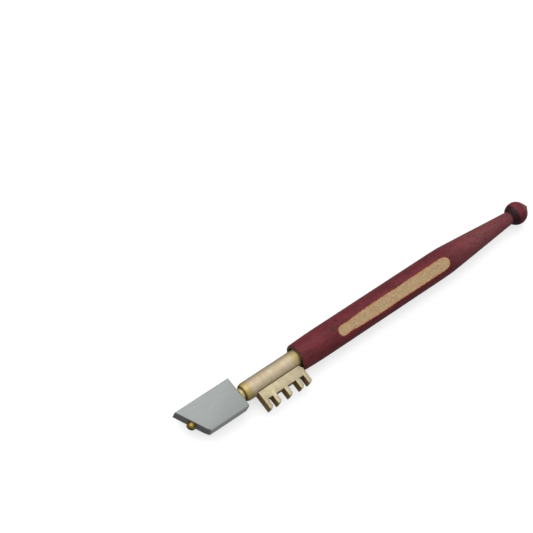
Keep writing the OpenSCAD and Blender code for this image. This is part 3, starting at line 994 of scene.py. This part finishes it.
def make_steel(name, light, dark, rough, side=None, sole=None):
    """Ground steel with grain along X; side is painted light on the walls, and sole is painted shade on the
    sole.
    """
    material, tree, shader, where = start(name)
    dust = use_group(tree, specks, {"Vector": where})
    wear = use_group(tree, edge_wear, {"Vector": where, "Edge": attribute(tree, "edge")})["Wear"]
    grain = noise(tree, where, 1.0, 3.0, (0.25, 4.5, 4.5), 0.6)
    tone = ramp(tree, grain, 0.3, 0.7)
    color = blend(tree, tone, dark, light)
    color = tint(tree, color, dust["Haze"], 0.22, dark)
    color = tint(tree, color, dust["Specks"], 0.3, STEEL_SPECK)
    level = ramp(tree, tone, 0, 1, rough + 0.03, rough - 0.02)
    if sole is not None:
        color = blend(tree, ramp(tree, attribute(tree, "wall"), 0.55, 1.0, 0, 0.85), color, side)
        color = blend(tree, ramp(tree, attribute(tree, "sole"), 0.5, 0.9), color, sole)
    color = tint(tree, color, wear, 0.5, light)
    link(tree, shader, Base_Color=color, Roughness=level, Normal=bump(tree, tone, 0.003, 0.25))
    shader.inputs["Metallic"].default_value = 1.0
    return material


on_sole = np.abs((path - sole_middle[:2]) @ sole_axes[:2, 0]) < SOLE_REACH
walls = np.empty(len(head.data.vertices), dtype=np.float32)
head.data.attributes["wall"].data.foreach_get("value", walls)
add_values(head, "sole", np.tile(on_sole, len(walls) // len(path)) * (walls > 0.3))
# The walls' light colour is painted light, and the sole's darker colour is painted shade.
head.data.materials.append(make_steel(
    "Satin steel", srgb(144, 148, 146), srgb(140, 144, 143), 0.52, srgb(204, 207, 209), srgb(134, 134, 140)))
plain_steel = make_steel("Plain steel", srgb(128, 126, 122), srgb(88, 84, 80), 0.4)
for piece in (washer, stop_pin):
    piece.data.materials.append(plain_steel)
brad.data.materials.append(make_steel("Oxidised steel", srgb(92, 62, 58), srgb(58, 34, 34), 0.55))


# %% [markdown]
# ### Braze and stone
# The braze is a dull dark metal with a crust. The stone is a grey natural
# diamond: a dark body under a very smooth coat, with a little mottling so
# that it doesn't read as a hole.

# %% Braze and stone materials
def make_small(name, light, dark, rough, metallic, coat):
    """A mottled material for the two smallest pieces."""
    material, tree, shader, where = start(name)
    mottle = ramp(tree, noise(tree, where, 5.0, 4.0), 0.3, 0.7)
    level = ramp(tree, mottle, 0, 1, rough + 0.1, rough - 0.05)
    color = blend(tree, mottle, dark, light)
    link(tree, shader, Base_Color=color, Roughness=level, Normal=bump(tree, mottle, 0.01))
    shader.inputs["Metallic"].default_value = metallic
    shader.inputs["Coat Weight"].default_value = coat
    return material


braze.data.materials.append(make_small("Braze", srgb(64, 56, 46), srgb(26, 22, 20), 0.5, 1.0, 0.0))
stone.data.materials.append(make_small("Dark diamond", srgb(70, 70, 76), srgb(26, 26, 30), 0.15, 0.0, 1.0))

# %% [markdown]
# ## Light, floor and camera
# A white table, a large soft light overhead and a pale room give even, gentle
# light. Metal also needs something darker to mirror along its edges, so a
# Light Path node tells the two uses of the table apart: it is white where
# the camera sees it, and greyer in the light that the metal gets from it.

# %% Floor
GLOW = 0.62
FLOOR_R, FLOOR_SIDES = 3.0, 96
PAPER, PAPER_LIGHT, FLOOR_IN_REFLECTIONS = srgb(170, 170, 170), srgb(174, 174, 174), srgb(136, 134, 132)
BLACK, WHITE = (0, 0, 0, 1), (1, 1, 1, 1)


def make_floor():
    """A large disc on z = 0: pale where it is looked at, and darker where metal mirrors it."""
    a = np.linspace(0, 2 * np.pi, FLOOR_SIDES, endpoint=False)
    points = np.stack([FLOOR_R * np.cos(a), FLOOR_R * np.sin(a), 0 * a], -1)
    floor = add_piece("table", points, [list(range(FLOOR_SIDES))], flat_faces=1)
    material, tree, shader, where = start("White table")
    cloud = ramp(tree, noise(tree, where, 0.01, 3.0), 0.3, 0.7)
    paper = blend(tree, cloud, PAPER, PAPER_LIGHT)
    seen = add(tree, "ShaderNodeLightPath").outputs["Is Camera Ray"]
    color, glow = blend(tree, seen, FLOOR_IN_REFLECTIONS, paper), blend(tree, seen, BLACK, WHITE)
    rough = ramp(tree, cloud, 0, 1, 0.85, 0.95)
    link(tree, shader, Base_Color=color, Emission_Color=glow, Roughness=rough)
    shader.inputs["Emission Strength"].default_value = GLOW
    floor.data.materials.append(material)
    return floor


make_floor()

# %% [markdown]
# The room is the world's own shader. It is brightest overhead and darker
# near the horizon, which gives every round piece a dark edge. One large
# soft light above and behind adds a faint shadow.

# %% Lights
def make_world():
    """A room whose brightness rises from the horizon to straight overhead, and is white to look at."""
    world = bpy.data.worlds.new("room")
    world.use_nodes = True
    tree = world.node_tree
    way = add(tree, "ShaderNodeTexCoord").outputs["Generated"]
    up = add(tree, "ShaderNodeSeparateXYZ", {0: way}).outputs["Z"]
    level = ramp(tree, up, 0.0, 0.7, 0.15, 1.0)
    seen = add(tree, "ShaderNodeLightPath").outputs["Is Camera Ray"]
    tree.links.new(math(tree, "MAXIMUM", level, seen), tree.nodes["Background"].inputs["Strength"])
    tree.nodes["Background"].inputs["Color"].default_value = WHITE
    bpy.context.scene.world = world


LIGHT_PLACE, LIGHT_SIZE, LIGHT_WATTS = (-0.2, 0.8, 1.2), 1.6, 16.0

make_world()
light = bpy.data.lights.new("overhead", "AREA")
light.size, light.energy = LIGHT_SIZE, LIGHT_WATTS
box = bpy.data.objects.new("overhead", light)
box.location = LIGHT_PLACE
box.rotation_euler = (-box.location).to_track_quat("-Z", "Y").to_euler()
bpy.context.scene.collection.objects.link(box)
print("overhead light, watts:", light.energy)

# %% [markdown]
# The camera looks down on the tool from in front of its head, with the
# camera itself rolled so that the tool lies across the frame from corner to
# corner. A long lens keeps the ends of the tool nearly the same scale.

# %% Camera
AZIMUTH, ELEVATION, ROLL = np.radians([-64.302, 60.824, 29.444])
AIM = np.array([-22.84, 38.3, 5.9]) * MM
DISTANCE = 589.69 * MM
LENS, SENSOR = 102.53, 36.0

sideways = np.array([np.sin(AZIMUTH), -np.cos(AZIMUTH)]) * np.cos(ELEVATION)
back = np.append(sideways, np.sin(ELEVATION))
level_x = np.cross([0, 0, 1], back)
level_x /= np.linalg.norm(level_x)
level_y = np.cross(back, level_x)
right = np.cos(ROLL) * level_x + np.sin(ROLL) * level_y
place = Matrix(np.column_stack([right, np.cross(back, right), back]).tolist()).to_4x4()
place.translation = Vector(AIM + DISTANCE * back)

camera_data = bpy.data.cameras.new("camera")
camera_data.lens, camera_data.sensor_width = LENS, SENSOR
camera_data.clip_start, camera_data.clip_end = 0.01, 10.0
camera_data.dof.use_dof = False
camera = bpy.data.objects.new("camera", camera_data)
camera.matrix_world = place
bpy.context.scene.collection.objects.link(camera)
bpy.context.scene.camera = camera
bpy.context.scene.view_settings.view_transform = "Standard"
print("camera at, mm:", [round(v / MM, 1) for v in place.translation])
